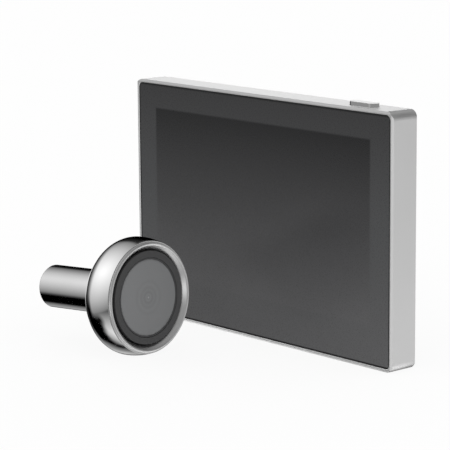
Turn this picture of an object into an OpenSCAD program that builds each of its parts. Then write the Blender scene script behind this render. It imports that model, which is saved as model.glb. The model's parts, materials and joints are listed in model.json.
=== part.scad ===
// A door viewer in two units: an indoor screen unit and an outdoor camera head.
// The screen unit stands upright on its bottom edge and faces -Y, with its door bracket behind it.
// The camera head stands on its rim in front of the screen and faces nearly +X.
// Millimetres, +Z up. The origin is the middle of the screen unit's bottom face.

/* [Display] */
// Width of the area that lights up
view_w = 95; // [85:0.5:110]
// Height of the area that lights up
view_h = 53.9; // [50:0.1:62]
// Dark border and metal beside the lit area, each side
side_border = 9.2; // [9:0.1:12]
// Dark border and metal above the lit area
top_border = 8.5; // [8:0.1:12]
// Dark border and metal below the lit area
bottom_border = 12.8; // [12:0.1:16]
// Panel frame beside the lit area, each side
panel_side = 4.7; // [3:0.1:4.9]
// Panel frame above the lit area
panel_top = 4; // [3:0.1:4.4]
// Panel frame below the lit area
panel_bottom = 8.1; // [6:0.1:8.8]
// Thickness of the display panel
panel_t = 2.9; // [2:0.1:4]

/* [Screen housing] */
// Radius of the frame's four corners, seen from the front
corner_r = 2.6; // [2.2:0.1:4]
// Bevel along the frame's front edges
edge_cut = 0.6; // [0.2:0.1:0.8]
// Bevel along the frame's back edges
back_cut = 0.15; // [0.1:0.05:0.4]
// Metal that shows round the glass
lip_t = 0.9; // [0.7:0.1:1.2]
// Wall of the frame behind the glass
wall_t = 1.6; // [1.2:0.1:1.9]
// Thickness of the cover glass
glass_t = 1.1; // [0.7:0.1:2]
// Depth of the glass below the frame's front edge
glass_sink = 0.3; // [0.1:0.1:0.6]
// Thickness of the black adhesive border behind the glass
mask_t = 0.3; // [0.2:0.1:0.5]
// Thickness of the metal plate behind the display
plate_t = 0.6; // [0.4:0.1:1]

/* [Power button] */
// Length of the button
button_l = 10.4; // [8:0.1:14]
// Width of the button
button_w = 3.6; // [3:0.1:4]
// Height of the button above the frame
button_proud = 1.1; // [0.8:0.1:1.6]
// From the unit's right side to the middle of the button
button_inset = 16.1; // [14:0.1:24]
// How far the button goes in
button_travel = 0.6; // [0.3:0.1:0.8]

/* [Rear cover] */
// Wall of the rear cover
cover_t = 1.6; // [1.3:0.1:2]
// Width of the raised back
bulge_w = 82; // [76:0.5:86]
// Height of the raised back
bulge_h = 50; // [46:0.5:54]
// Corner radius of the raised back
bulge_r = 4; // [3:0.1:6]
// Bevel round the raised back
bulge_cut = 1.2; // [0.4:0.1:1.5]
// Radius of the round pocket for the door bolt's head and the camera plug
pocket_r = 9; // [8:0.1:10]
// Depth of that pocket
pocket_d = 5; // [4.5:0.1:5.4]
// Holes in each row of the speaker grille
grille_rows = 8; // [5:1:9]

/* [Door bracket] */
// Width of the bracket plate
bracket_w = 70; // [66:0.5:76]
// Height of the bracket plate
bracket_h = 42; // [38:0.5:46]
// Corner radius of the bracket plate
bracket_r = 4; // [3:0.5:8]
// Thickness of the bracket plate
bracket_t = 1.5; // [1.2:0.1:2.5]
// Radius of the hole for the hollow door bolt
bolt_hole_r = 6.2; // [5.8:0.1:7]
// Distance between the two door screw holes
screw_span = 44; // [40:0.5:46]
// Radius of the door screw holes
screw_hole_r = 1.7; // [1.5:0.1:2]
// Distance between the hanging studs, across
stud_span_x = 56; // [54:0.5:60]
// Distance between the hanging studs, up and down
stud_span_z = 24; // [22:0.5:26]
// Radius of a stud's neck
stud_neck_r = 1.6; // [1.3:0.1:2]
// Radius of a stud's head
stud_head_r = 3; // [2.6:0.1:3.3]
// How far the unit is lifted to come off its studs
hang_travel = 8; // [7.5:0.1:9]
// Thickness of the foam pad against the door
pad_t = 1; // [0.6:0.1:2]

/* [Boards and battery] */
// Thickness of the main board
board_t = 1; // [0.8:0.1:1.6]
// Height of the spacers under the main board
standoff_h = 1.2; // [1.1:0.1:2]
// Room between the main board and the rear cover
board_room = 0.8; // [0.7:0.1:1.5]
// Thickness of the battery cell
cell_t = 7; // [6.5:0.1:9]
// Width of the speaker
speaker_w = 10.5; // [8:0.1:11]
// Length of the speaker
speaker_l = 25; // [22:0.5:28]
// Width of the charging port
port_w = 7.5; // [7:0.1:9]
// Depth of the charging port
port_l = 5.2; // [4.5:0.1:6]
// From the unit's middle to the charging port
port_x = 30; // [26:0.5:34]

/* [Camera head] */
// Diameter of the polished ring at its widest
ring_d = 35.2; // [34.5:0.1:40]
// Roundness of the ring's back edge
ring_round = 5.95; // [5.6:0.05:6.4]
// Depth of the flat on the ring's back
back_flat = 0.6; // [0.4:0.1:0.9]
// From the ring's widest circle forward to the bell ring's face
face_ahead = 5.9; // [5:0.1:7]
// How far the ring's rim stands ahead of the face
rim_ahead = 0.7; // [0.5:0.1:1.2]
// Radius of the ring's crowned side
crown_r = 20; // [16:0.5:30]
// Radius of the rounded rim
rim_r = 0.67; // [0.5:0.01:0.8]
// Width of the slope inside the rim
slope_w = 1; // [0.8:0.05:1.4]
// Depth of the slope inside the rim
slope_d = 1; // [0.6:0.1:1.1]
// Diameter of the barrel that goes through the door
barrel_d = 13; // [12.5:0.1:15]
// Length of the barrel behind the ring
barrel_l = 30; // [26:0.5:60]
// Wall of the barrel
barrel_wall = 1.3; // [1:0.1:1.6]
// Depth of the thread inside the barrel's end
thread_l = 18; // [12:0.5:19]
// Diameter of the window over the lens
window_d = 22.5; // [20:0.1:23]
// Thickness of the window
window_t = 1.5; // [1.2:0.1:1.7]
// How far the bell ring goes in
bell_travel = 0.8; // [0.5:0.1:0.9]
// Diameter of the lens barrel
lens_d = 6.2; // [5.6:0.1:7]
// Count of infrared lamps round the lens
lamp_count = 6; // [4:1:8]

/* [Placement] */
// Head's place, across
head_x = -12.4; // [-30:0.1:10]
// Head's place, in front of the middle of the screen unit
head_y = -42.5; // [-60:0.1:-35]
// Turn of the head from +X towards the screen, in degrees
head_turn = 5.5; // [0:0.1:10]
// Tilt of the head upwards, in degrees
head_tilt = 3.2; // [0:0.1:6]

/* [Hidden] */
$fn = 72;

// Clearances, from tight to loose, and how far a cut runs past its face
screw_gap = 0.05;
skin_gap = 0.1;
slide_gap = 0.15;
drop_gap = 0.3;
panel_gap = 0.4;
over = 1;

// Screws: the small ones inside the screen unit, those of its rear cover, those of the camera head
small_r = 0.6;
small_head_r = 1.05;
small_head_t = 0.5;
cover_screw_r = 0.75;
cover_head_r = 1.4;
cover_head_t = 0.8;
chassis_screw_r = 0.8;
chassis_head_r = 1.3;
chassis_head_t = 0.8;

// Screen unit: outline, and layers from front to back
unit_w = view_w + 2 * side_border;
unit_h = view_h + top_border + bottom_border;
unit_mid = unit_h / 2;
stack_d = glass_sink + glass_t + mask_t + panel_t + plate_t + standoff_h + board_t + board_room + cover_t;
front_y = -stack_d / 2;
back_y = stack_d / 2;
glass_y = front_y + glass_sink;
mask_y = glass_y + glass_t;
ledge_y = mask_y + mask_t;
plate_y = ledge_y + panel_t;
plate_back = plate_y + plate_t;
board_y = plate_back + standoff_h;
board_back = board_y + board_t;
cover_y = board_back + board_room;
glass_w = unit_w - 2 * (lip_t + slide_gap);
glass_h = unit_h - 2 * (lip_t + slide_gap);
glass_r = corner_r - lip_t - slide_gap;
room_w = unit_w - 2 * wall_t;
room_h = unit_h - 2 * wall_t;
room_r = corner_r - wall_t;
view_mid = unit_h - top_border - view_h / 2;
panel_w = view_w + 2 * panel_side;
panel_h = view_h + panel_top + panel_bottom;
panel_mid = unit_h - top_border + panel_top - panel_h / 2;
panel_low = panel_mid - panel_h / 2;
ledge_x = panel_w / 2 + panel_gap;
post_r = 2.2;
post_inset = 4.3;
post_x = unit_w / 2 - post_inset;
post_z = [post_inset, unit_h - post_inset];
plate_screw_x = (ledge_x + room_w / 2) / 2;
plate_screw_room = 3.5;
plate_screw_reach = speaker_l / 2 + plate_screw_room;
plate_screw_z = [unit_mid - plate_screw_reach, unit_mid + plate_screw_reach];
plate_screw_bite = 2;

// Raised back of the rear cover: deep enough for the battery, with the stud heads behind it
cell_pad_t = 0.5;
cell_gap = 0.4;
cell_room = 1.2;
stud_head_t = 1;
cell_y = plate_back + cell_pad_t;
stud_head_y = cell_y + cell_t + cell_room;
stud_head_back = stud_head_y + stud_head_t;
bulge_in = stud_head_back + drop_gap;
bulge_back = bulge_in + cover_t;
bulge_mid = unit_mid;
bulge_low = bulge_mid - bulge_h / 2 + cover_t;
bulge_top = bulge_mid + bulge_h / 2 - cover_t;
pocket_floor = bulge_back - pocket_d;
pocket_out = pocket_r + cover_t;
slot_w = 11;
slot_h = 5;
slot_drop = 2;
slot_z = bulge_mid - slot_drop;

// Hanging studs and door bracket
stud_rise = 2;
stud_x = [-stud_span_x / 2, stud_span_x / 2];
stud_z = [bulge_mid + stud_rise - stud_span_z / 2, bulge_mid + stud_rise + stud_span_z / 2];
entry_r = stud_head_r + drop_gap;
rivet_r = 1.1;
bracket_y = bulge_back + drop_gap;
bracket_back = bracket_y + bracket_t;
pad_back = bracket_back + pad_t;
pad_inset = 2;
pad_room = 3;
screw_x = [-screw_span / 2, screw_span / 2];
sink_edge = 1.2;
sink_r = screw_hole_r + sink_edge;
sink_d = 1;

// Power button and its switch
button_x = unit_w / 2 - button_inset;
flange_edge = 0.8;
flange_reach = 0.5;
flange_t = 0.8;
flange_top = unit_h - wall_t - skin_gap;
flange_low = flange_top - flange_t;
flange_half = button_l / 2 + flange_edge;
flange_front = -button_w / 2 - flange_reach;
flange_back = cover_y - 2 * skin_gap;
press_low = flange_low - button_travel - drop_gap;
switch_w = 4.4;
switch_h = 3;
switch_drop = 1.5;
switch_floor = 0.5;
switch_top = press_low - switch_drop;
switch_low = switch_top - switch_h;
switch_y = [board_y - flange_reach, cover_y - skin_gap];
plunger_r = 0.65;
plunger_y = board_y + board_t / 2;
plunger_low = switch_low + switch_floor + button_travel + 2 * skin_gap;

// Main board and what is on it: sizes are width, depth and height
board_top = switch_low;
board_foot = 0.8;
board_low = bulge_low + board_foot;
board_tuck = 0.5;
board_left = -pocket_r - board_tuck;
board_side = 3.1;
board_right = room_w / 2 - board_side;
board_hole_inset = 3.5;
board_hole_x = [board_left + board_hole_inset, board_right - board_hole_inset];
board_hole_z = [board_low + board_hole_inset, board_top - board_hole_inset];
standoff_r = 1.6;
chip_gap = 2;
shield_size = [16, 1.8, 16];
wireless_size = [12, 2, 9];
chip_size = [6, 1.1, 5];
shield_x = pocket_out + chip_gap + shield_size[0] / 2;
wireless_z = bulge_mid + shield_size[2] / 2 + chip_gap + wireless_size[2] / 2;
chip_z = bulge_mid - shield_size[2] / 2 - chip_gap - chip_size[2] / 2;
mic_size = [3.5, board_room - skin_gap, 2.7];
mic_hole_r = 0.5;
mic_side = 6;
mic_drop = 5;
mic_x = board_right - mic_side;
mic_z = bulge_mid - mic_drop;
port_air = 0.5;
port_t = cover_y - plate_back - port_air;
port_y = (plate_back + cover_y) / 2;
port_low = 0.5;
port_top = port_low + port_l;
port_skin = 0.3;
port_blade_room = 2.4;
port_blade_t = 0.6;
tongue_edge = 2;
tongue_w = port_w + 2 * tongue_edge;
socket_wall = 1.2;
socket_floor = 1;
socket_mouth = 2;
ribbon_x = 8;
ribbon_w = 14;
ribbon_t = 0.2;
ribbon_air = 0.6;
ribbon_rise = 3.4;
ribbon_y = board_y - ribbon_air;
ribbon_z = panel_low + ribbon_rise;
ribbon_room = 4;
link_edge = 1;
link_h = 4;
link_t = 0.9;
link_rise = 0.3;
link_z = board_low + link_rise;

// Speaker, battery and antenna
speaker_gap = 0.8;
speaker_x = -(room_w / 2 - speaker_gap - speaker_w / 2);
speaker_r = 2;
guard_h = 3.4;
guard_half = 1;
guard_inset = 2;
cell_x = [max(-bulge_w / 2 + cover_t, speaker_x + speaker_w / 2) + cell_gap, -pocket_out - cell_gap];
cell_low = bulge_low + cell_gap;
cell_top = bulge_top - cell_gap - guard_h;
cell_r = 1.5;
cell_pad_inset = 3;
lead_r = 0.5;
lead_step = 0.7;
lead_rise = 1.4;
lead_y = board_back + lead_rise;
lead_z = cell_top + guard_h / 2;
plug_edge = 0.5;
plug_l = 4;
plug_x = [board_left + plug_edge, board_left + plug_edge + plug_l];
plug_half = 1.8;
seal_t = 0.3;
seal_w = 1.2;
grille_r = 0.6;
grille_step = 2.4;
antenna_t = 0.3;
antenna_inset = 4;
antenna_edge = 1.5;

// Polished ring: along the camera head's own axis, from the ring's flat back forward
ring_r = ring_d / 2;
core_r = ring_r - ring_round;
widest_z = ring_round - back_flat;
face_z = widest_z + face_ahead;
rim_z = face_z + rim_ahead;
rim_low = rim_z - rim_r;
rim_step = 0.2;
crown_rise = rim_low - widest_z;
crown_end = ring_r - crown_r + sqrt(crown_r * crown_r - crown_rise * crown_rise);
rim_mid = crown_end - rim_step - rim_r;
slope_top = rim_mid - rim_r;
bore_r = slope_top - slope_w;
bore_top = rim_low - slope_d;
head_z = core_r * cos(head_tilt) + ring_round;

// Bell ring, its board and switches
disc_t = 2.8;
chassis_floor = 1.2;
chassis_back = disc_t + chassis_floor;
bell_gap = 0.3;
bell_r = bore_r - bell_gap;
bell_catch = 0.4;
bell_flange_t = 1;
bell_flange_r = bore_r + bell_catch;
bell_board_t = 0.8;
bell_board_top = chassis_back + bell_board_t;
bell_switch_h = 1.35;
bell_switch_top = bell_board_top + bell_switch_h;
bell_stop = 0.4;
bell_back = bell_switch_top + bell_stop + bell_travel;
shoulder_z = bell_back + bell_flange_t + skin_gap;
cave_room = 0.2;
cave_r = bell_flange_r + cave_room;
rear_room = 0.3;
rear_r = cave_r + rear_room;
bell_switch_r = 1;
bell_pin_r = 0.55;
bell_pin_floor = 0.2;
bell_pin_low = bell_board_top + bell_pin_floor + bell_travel + skin_gap;
thirds = [0, 120, 240];
sixth = 60;

// Barrel, and the disc that carries it and screws into the back of the ring
barrel_r = barrel_d / 2;
barrel_in = barrel_r - barrel_wall;
barrel_cut = 0.5;
neck_cut = 0.2;
wire_step = 0.5;
wire_r = barrel_in - wire_step;
disc_r = rear_r - screw_gap;
seal_ring_r = 0.42;
seal_ring_z = 1.4;
seal_groove = 0.95;
gasket_t = 1;
gasket_reach = 1.3;
gasket_r = core_r + gasket_reach;
neck_r = barrel_r - neck_cut;
neck_l = gasket_t + neck_cut;
grommet_l = 5;
cable_slot_w = 6.5;
cable_slot_t = 1.4;
cable_hole_r = 3.5;

// Chassis, window, lamps and lens
window_r = window_d / 2;
chassis_skin = 0.4;
tube_r = window_r + screw_gap + chassis_skin;
bell_in = tube_r + skin_gap;
bell_board_in = tube_r + slide_gap;
bell_board_out = cave_r - panel_gap;
bell_switch_at = (bell_board_in + bell_board_out) / 2;
chassis_front = face_z - skin_gap;
window_front = chassis_front - skin_gap;
window_back = window_front - window_t;
window_seal_t = 0.3;
seat_z = window_back - window_seal_t;
seat_w = 0.75;
lamp_room_r = window_r - seat_w;
lamp_board_t = 0.8;
lamp_t = 0.8;
lamp_w = 2;
lamp_air = 0.2;
lamp_board_z = seat_z - lamp_air - lamp_t - lamp_board_t;
camera_ledge = 0.8;
camera_room_r = lamp_room_r - camera_ledge;
camera_board_gap = 0.2;
camera_board_r = camera_room_r - camera_board_gap;
camera_board_t = 0.8;
camera_post_r = 1.2;
camera_post_h = 0.6;
camera_board_z = chassis_back + camera_post_h;
chassis_screw_inset = 1.6;
chassis_screw_at = camera_room_r - chassis_screw_inset;
chassis_screw_low = 0.5;
sensor_z = camera_board_z + camera_board_t;
sensor_w = 6;
sensor_t = 0.7;
lens_r = lens_d / 2;
holder_wall = 1.3;
holder_r = lens_r + holder_wall;
holder_h = 2;
holder_top = sensor_z + holder_h;
lens_air = 0.2;
lens_low = sensor_z + sensor_t + lens_air;
lens_top = seat_z - lamp_air;
lens_wall = 0.9;
lens_front_t = 1.2;
lens_back_t = 0.6;
lens_curve_r = 3.2;
mic_head_size = [1.8, 2.6, 0.9];

// Shapes that repeat

// A rectangle with round corners, about its middle
module round_rect(w, h, r) {
    square([w - 2 * r, h], center = true);
    square([w, h - 2 * r], center = true);
    for (x = [-1, 1], y = [-1, 1])
        translate([x * (w / 2 - r), y * (h / 2 - r)])
            circle(r);
}

// An outline in x and z, made solid from y0 back to y1
module slab(y0, y1) {
    translate([0, y1, 0])
        rotate([90, 0, 0])
            linear_extrude(y1 - y0)
                children();
}

// A plate with round corners, its middle at height mid
module plate(w, h, mid, r, y0, y1) {
    slab(y0, y1)
        translate([0, mid])
            round_rect(w, h, r);
}

// A box between two values on each axis
module block(x, y, z) {
    translate([x[0], y[0], z[0]])
        cube([x[1] - x[0], y[1] - y[0], z[1] - z[0]]);
}

// A rod from front to back at a place in x and z
module rod(x, z, r, y0, y1) {
    translate([x, y0, z])
        rotate([-90, 0, 0])
            cylinder(r = r, h = y1 - y0);
}

// A hole through everything between y0 and y1
module hole(x, z, r, y0, y1) {
    rod(x, z, r, y0 - over, y1 + over);
}

// A screw or rivet whose head starts at head_y and whose shank starts at y0
module fastener(x, z, r, head_r, y0, head_y, y1) {
    rod(x, z, r, y0, y1);
    rod(x, z, head_r, head_y, y1);
}

// A washer or tube about the camera head's axis
module tube(r_out, r_in, z0, z1) {
    translate([0, 0, z0])
        difference() {
            cylinder(r = r_out, h = z1 - z0);
            translate([0, 0, -over])
                cylinder(r = r_in, h = z1 - z0 + 2 * over);
        }
}

// A disc about the camera head's axis
module disc(r, z0, z1) {
    translate([0, 0, z0])
        cylinder(r = r, h = z1 - z0);
}

// Section of a box of width w between y0 and y1, with its front and back edges bevelled
function bevelled(w, y0, y1, cut_front, cut_back) = [
    [-w / 2 + cut_front, y0], [w / 2 - cut_front, y0],
    [w / 2, y0 + cut_front], [w / 2, y1 - cut_back],
    [w / 2 - cut_back, y1], [-w / 2 + cut_back, y1],
    [-w / 2, y1 - cut_back], [-w / 2, y0 + cut_front]];

// A plate with round corners and bevelled edges, its middle at height mid
module bevelled_plate(w, h, mid, r, y0, y1, cut_front, cut_back) {
    intersection() {
        plate(w, h, mid, r, y0, y1);
        translate([0, 0, mid])
            linear_extrude(h + 2 * over, center = true)
                polygon(bevelled(w, y0, y1, cut_front, cut_back));
        translate([0, 0, mid])
            rotate([0, 90, 0])
                linear_extrude(w + 2 * over, center = true)
                    polygon(bevelled(h, y0, y1, cut_front, cut_back));
    }
}

// A pill lying along x, standing from z0 to z1
module pill(l, w, z0, z1) {
    translate([0, 0, z0])
        linear_extrude(z1 - z0) {
            square([l - w, w], center = true);
            for (x = [-1, 1])
                translate([x * (l - w) / 2, 0])
                    circle(w / 2);
        }
}

// Puts a shape made about the z axis onto the camera head's axis
module at_head() {
    translate([head_x, head_y, head_z])
        rotate([0, 90 - head_tilt, head_turn])
            translate([0, 0, -widest_z])
                children();
}

// Three places round the camera head's axis, at a radius and a turn
module at_thirds(r, turn = 0) {
    for (third = thirds)
        rotate(third + turn)
            translate([r, 0, 0])
                children();
}

// The four corners where the rear cover is screwed on
module at_posts() {
    for (x = [-post_x, post_x], z = post_z)
        translate([x, 0, z])
            children();
}

// The four places where the main board is screwed on
module at_board_holes() {
    for (x = board_hole_x, z = board_hole_z)
        translate([x, 0, z])
            children();
}

// A part soldered on the back of the main board, by its middle and size
module on_board(x, z, size) {
    block([x - size[0] / 2, x + size[0] / 2], [board_back, board_back + size[1]],
        [z - size[2] / 2, z + size[2] / 2]);
}

// Screen unit

module frame() {
    color("silver")
        difference() {
            union() {
                difference() {
                    bevelled_plate(unit_w, unit_h, unit_mid, corner_r, front_y, back_y,
                        edge_cut, back_cut);
                    plate(unit_w - 2 * lip_t, unit_h - 2 * lip_t, unit_mid, corner_r - lip_t,
                        front_y - over, ledge_y);
                    slab(ledge_y - over, plate_y + over)
                        translate([0, panel_mid])
                            square([2 * ledge_x, panel_h + 2 * panel_gap], center = true);
                    plate(room_w, room_h, unit_mid, room_r, plate_y, back_y + over);
                }
                intersection() {
                    at_posts()
                        rod(0, 0, post_r, plate_y, cover_y);
                    plate(unit_w - wall_t, unit_h - wall_t, unit_mid, corner_r - wall_t / 2,
                        plate_y, cover_y);
                }
            }
            at_posts()
                rod(0, 0, cover_screw_r + screw_gap, plate_back, cover_y + over);
            for (x = [-plate_screw_x, plate_screw_x], z = plate_screw_z)
                rod(x, z, small_r + screw_gap, plate_y - plate_screw_bite, plate_y + over);
            translate([button_x, 0, 0]) {
                pill(button_l + 2 * slide_gap, button_w + 2 * slide_gap, press_low, unit_h + over);
                block([-flange_half - drop_gap, flange_half + drop_gap],
                    [flange_front - drop_gap, plate_y + over], [press_low, unit_h - wall_t]);
            }
            block([port_x - port_w / 2 - drop_gap, port_x + port_w / 2 + drop_gap],
                [port_y - port_t / 2 - drop_gap, port_y + port_t / 2 + drop_gap],
                [-over, wall_t + over]);
        }
}

module cover_glass() {
    color([0.25, 0.25, 0.26])
        plate(glass_w, glass_h, unit_mid, glass_r, glass_y, mask_y);
}

module glass_border() {
    color("black")
        difference() {
            plate(glass_w, glass_h, unit_mid, glass_r, mask_y, ledge_y);
            slab(mask_y - over, ledge_y + over)
                translate([0, view_mid])
                    square([view_w, view_h], center = true);
        }
}

module display_panel() {
    color([0.18, 0.18, 0.19])
        slab(ledge_y, plate_y)
            translate([0, panel_mid])
                square([panel_w, panel_h], center = true);
}

module display_ribbon() {
    color("orange")
        translate([ribbon_x, 0, 0])
            rotate([90, 0, 90])
                linear_extrude(ribbon_w, center = true)
                    polygon([[plate_y, ribbon_z], [ribbon_y + ribbon_t, ribbon_z],
                        [ribbon_y + ribbon_t, link_z], [ribbon_y, link_z],
                        [ribbon_y, ribbon_z + ribbon_t], [plate_y, ribbon_z + ribbon_t]]);
}

module display_connector() {
    color("ivory")
        block([ribbon_x - ribbon_w / 2 - link_edge, ribbon_x + ribbon_w / 2 + link_edge],
            [board_y - link_t, board_y], [link_z, link_z + link_h]);
}

module back_plate() {
    color("lightgray")
        difference() {
            plate(room_w - 2 * drop_gap, room_h - 2 * drop_gap, unit_mid, room_r, plate_y, plate_back);
            at_posts()
                hole(0, 0, post_r + drop_gap, plate_y, plate_back);
            for (side = [-1, 1], z = post_z)
                translate([side * (post_x + post_inset / 2), 0, z])
                    block([-post_inset / 2, post_inset / 2], [plate_y - over, plate_back + over],
                        [-post_inset, post_inset]);
            for (x = [-plate_screw_x, plate_screw_x], z = plate_screw_z)
                hole(x, z, small_r + screw_gap, plate_y, plate_back);
            block([button_x - flange_half - 2 * drop_gap, button_x + flange_half + 2 * drop_gap],
                [plate_y - over, plate_back + over], [press_low - drop_gap, unit_h]);
            block([ribbon_x - ribbon_w / 2 - link_edge, ribbon_x + ribbon_w / 2 + link_edge],
                [plate_y - over, plate_back + over], [0, ribbon_z + ribbon_room]);
        }
}

module plate_screws() {
    color("gray")
        for (x = [-plate_screw_x, plate_screw_x], z = plate_screw_z)
            fastener(x, z, small_r, small_head_r, plate_y - plate_screw_bite + screw_gap, plate_back,
                plate_back + small_head_t);
}

module main_board() {
    color("darkgreen")
        difference() {
            union() {
                block([board_left, board_right], [board_y, board_back], [board_low, board_top]);
                block([port_x - tongue_w / 2, port_x + tongue_w / 2], [board_y, board_back],
                    [port_top, board_low + over]);
            }
            at_board_holes()
                hole(0, 0, small_r + screw_gap, board_y, board_back);
        }
}

module board_spacers() {
    color("goldenrod")
        at_board_holes()
            difference() {
                rod(0, 0, standoff_r, plate_back, board_y);
                hole(0, 0, small_r + screw_gap, plate_back, board_y);
            }
}

module board_screws() {
    color("gray")
        at_board_holes()
            fastener(0, 0, small_r, small_head_r, plate_back + screw_gap, board_back,
                board_back + small_head_t);
}

module processor_shield() {
    color("gainsboro")
        on_board(shield_x, bulge_mid, shield_size);
}

module wireless_module() {
    color("darkkhaki")
        on_board(shield_x, wireless_z, wireless_size);
}

module board_chips() {
    color([0.12, 0.12, 0.13])
        for (i = [-1, 0, 1])
            on_board(shield_x + i * (chip_size[0] + chip_gap), chip_z, chip_size);
}

module camera_socket() {
    half_w = slot_w / 2 - drop_gap;
    half_h = slot_h / 2 - drop_gap;
    color("ivory")
        difference() {
            block([-half_w, half_w], [board_back, pocket_floor - drop_gap],
                [slot_z - half_h, slot_z + half_h]);
            block([-half_w + socket_wall, half_w - socket_wall],
                [board_back + socket_floor, pocket_floor + over],
                [slot_z - socket_mouth / 2, slot_z + socket_mouth / 2]);
        }
}

module charging_port() {
    color("silver")
        translate([port_x, port_y, port_low])
            difference() {
                linear_extrude(port_l)
                    round_rect(port_w, port_t, 2 * port_skin);
                translate([0, 0, -over])
                    linear_extrude(port_l)
                        difference() {
                            round_rect(port_w - 2 * port_skin, port_t - 2 * port_skin, port_skin);
                            square([port_w - port_blade_room, port_blade_t], center = true);
                        }
            }
}

module power_switch() {
    color("gray")
        difference() {
            block([button_x - switch_w / 2, button_x + switch_w / 2], switch_y, [switch_low, switch_top]);
            translate([button_x, plunger_y, switch_low + switch_floor])
                cylinder(r = plunger_r + screw_gap, h = switch_h);
        }
}

module microphone() {
    color("gold")
        on_board(mic_x, mic_z, mic_size);
}

module speaker() {
    color([0.15, 0.15, 0.15])
        translate([speaker_x, 0, 0])
            plate(speaker_w, speaker_l, unit_mid, speaker_r, plate_back, cover_y - seal_t);
}

module speaker_seal() {
    color([0.2, 0.2, 0.22])
        translate([speaker_x, 0, 0])
            difference() {
                plate(speaker_w, speaker_l, unit_mid, speaker_r, cover_y - seal_t, cover_y);
                plate(speaker_w - 2 * seal_w, speaker_l - 2 * seal_w, unit_mid, speaker_r - seal_w,
                    cover_y - seal_t - over, cover_y + over);
            }
}

module battery_cell() {
    color("lightsteelblue")
        translate([(cell_x[0] + cell_x[1]) / 2, 0, 0])
            plate(cell_x[1] - cell_x[0], cell_top - cell_low, (cell_low + cell_top) / 2, cell_r,
                cell_y, cell_y + cell_t);
}

module battery_pad() {
    color("white")
        block([cell_x[0] + cell_pad_inset, cell_x[1] - cell_pad_inset], [plate_back, cell_y],
            [cell_low + cell_pad_inset, cell_top - cell_pad_inset]);
}

module battery_guard() {
    color("darkgreen")
        block([cell_x[0] + guard_inset, cell_x[1] - guard_inset],
            [lead_y - guard_half, lead_y + guard_half], [cell_top, cell_top + guard_h]);
}

module battery_lead() {
    color("firebrick")
        for (z = [lead_z - lead_step, lead_z + lead_step])
            translate([cell_x[1] - guard_inset, lead_y, z])
                rotate([0, 90, 0])
                    cylinder(r = lead_r, h = plug_x[0] - cell_x[1] + guard_inset);
}

module battery_plug() {
    color("ivory")
        block(plug_x, [board_back, lead_y + guard_half], [lead_z - plug_half, lead_z + plug_half]);
}

module antenna_strip() {
    color("darkorange")
        block([pocket_out + chip_gap, bulge_w / 2 - cover_t - antenna_inset],
            [back_y, bulge_in - antenna_edge], [bulge_top - antenna_t, bulge_top]);
}

module rear_cover() {
    color([0.16, 0.17, 0.18])
        difference() {
            union() {
                difference() {
                    union() {
                        plate(room_w - 2 * slide_gap, room_h - 2 * slide_gap, unit_mid, room_r,
                            cover_y, back_y);
                        bevelled_plate(bulge_w, bulge_h, bulge_mid, bulge_r, cover_y, bulge_back,
                            0, bulge_cut);
                    }
                    plate(bulge_w - 2 * cover_t, bulge_h - 2 * cover_t, bulge_mid, bulge_r - cover_t,
                        cover_y - over, bulge_in);
                }
                rod(0, bulge_mid, pocket_out, pocket_floor - cover_t, bulge_back);
            }
            rod(0, bulge_mid, pocket_r, pocket_floor, bulge_back + over);
            block([-slot_w / 2, slot_w / 2], [pocket_floor - cover_t - over, pocket_floor + over],
                [slot_z - slot_h / 2, slot_z + slot_h / 2]);
            for (x = stud_x, z = stud_z) {
                hole(x, z, stud_neck_r + slide_gap, bulge_in, bulge_back);
                hole(x, z - hang_travel, entry_r, bulge_in, bulge_back);
                block([x - stud_neck_r - slide_gap, x + stud_neck_r + slide_gap],
                    [bulge_in - over, bulge_back + over], [z - hang_travel, z]);
            }
            at_posts() {
                hole(0, 0, cover_screw_r + screw_gap, cover_y, back_y);
                rod(0, 0, cover_head_r + slide_gap, back_y - cover_head_t - skin_gap, back_y + over);
            }
            for (column = [-1, 0, 1], row = [0:grille_rows - 1])
                hole(speaker_x + column * grille_step,
                    unit_mid + (row - (grille_rows - 1) / 2) * grille_step, grille_r, cover_y, back_y);
            hole(mic_x, mic_z, mic_hole_r, cover_y, back_y);
        }
}

module cover_screws() {
    color("gray")
        at_posts()
            fastener(0, 0, cover_screw_r, cover_head_r, plate_back + screw_gap,
                back_y - cover_head_t - skin_gap, back_y - skin_gap);
}

module power_button() {
    color("silver")
        translate([button_x, 0, 0]) {
            pill(button_l, button_w, flange_low, unit_h + button_proud);
            block([-flange_half, flange_half], [flange_front, flange_back], [flange_low, flange_top]);
        }
}

module switch_plunger() {
    color("white")
        translate([button_x, plunger_y, plunger_low])
            cylinder(r = plunger_r, h = flange_low - plunger_low);
}

// Door bracket

module door_bracket() {
    color("gainsboro")
        difference() {
            plate(bracket_w, bracket_h, bulge_mid, bracket_r, bracket_y, bracket_back);
            hole(0, bulge_mid, bolt_hole_r, bracket_y, bracket_back);
            for (x = screw_x) {
                hole(x, bulge_mid, screw_hole_r, bracket_y, bracket_back);
                translate([x, bracket_y, bulge_mid])
                    rotate([-90, 0, 0])
                        cylinder(r1 = sink_r, r2 = screw_hole_r, h = sink_d);
            }
            for (x = stud_x, z = stud_z)
                hole(x, z, rivet_r + screw_gap, bracket_y, bracket_back);
        }
}

module hanging_studs() {
    color("silver")
        for (x = stud_x, z = stud_z) {
            rod(x, z, stud_head_r, stud_head_y, stud_head_back);
            rod(x, z, stud_neck_r, stud_head_y, bracket_y);
            rod(x, z, rivet_r, stud_head_y, bracket_back);
        }
}

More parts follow.
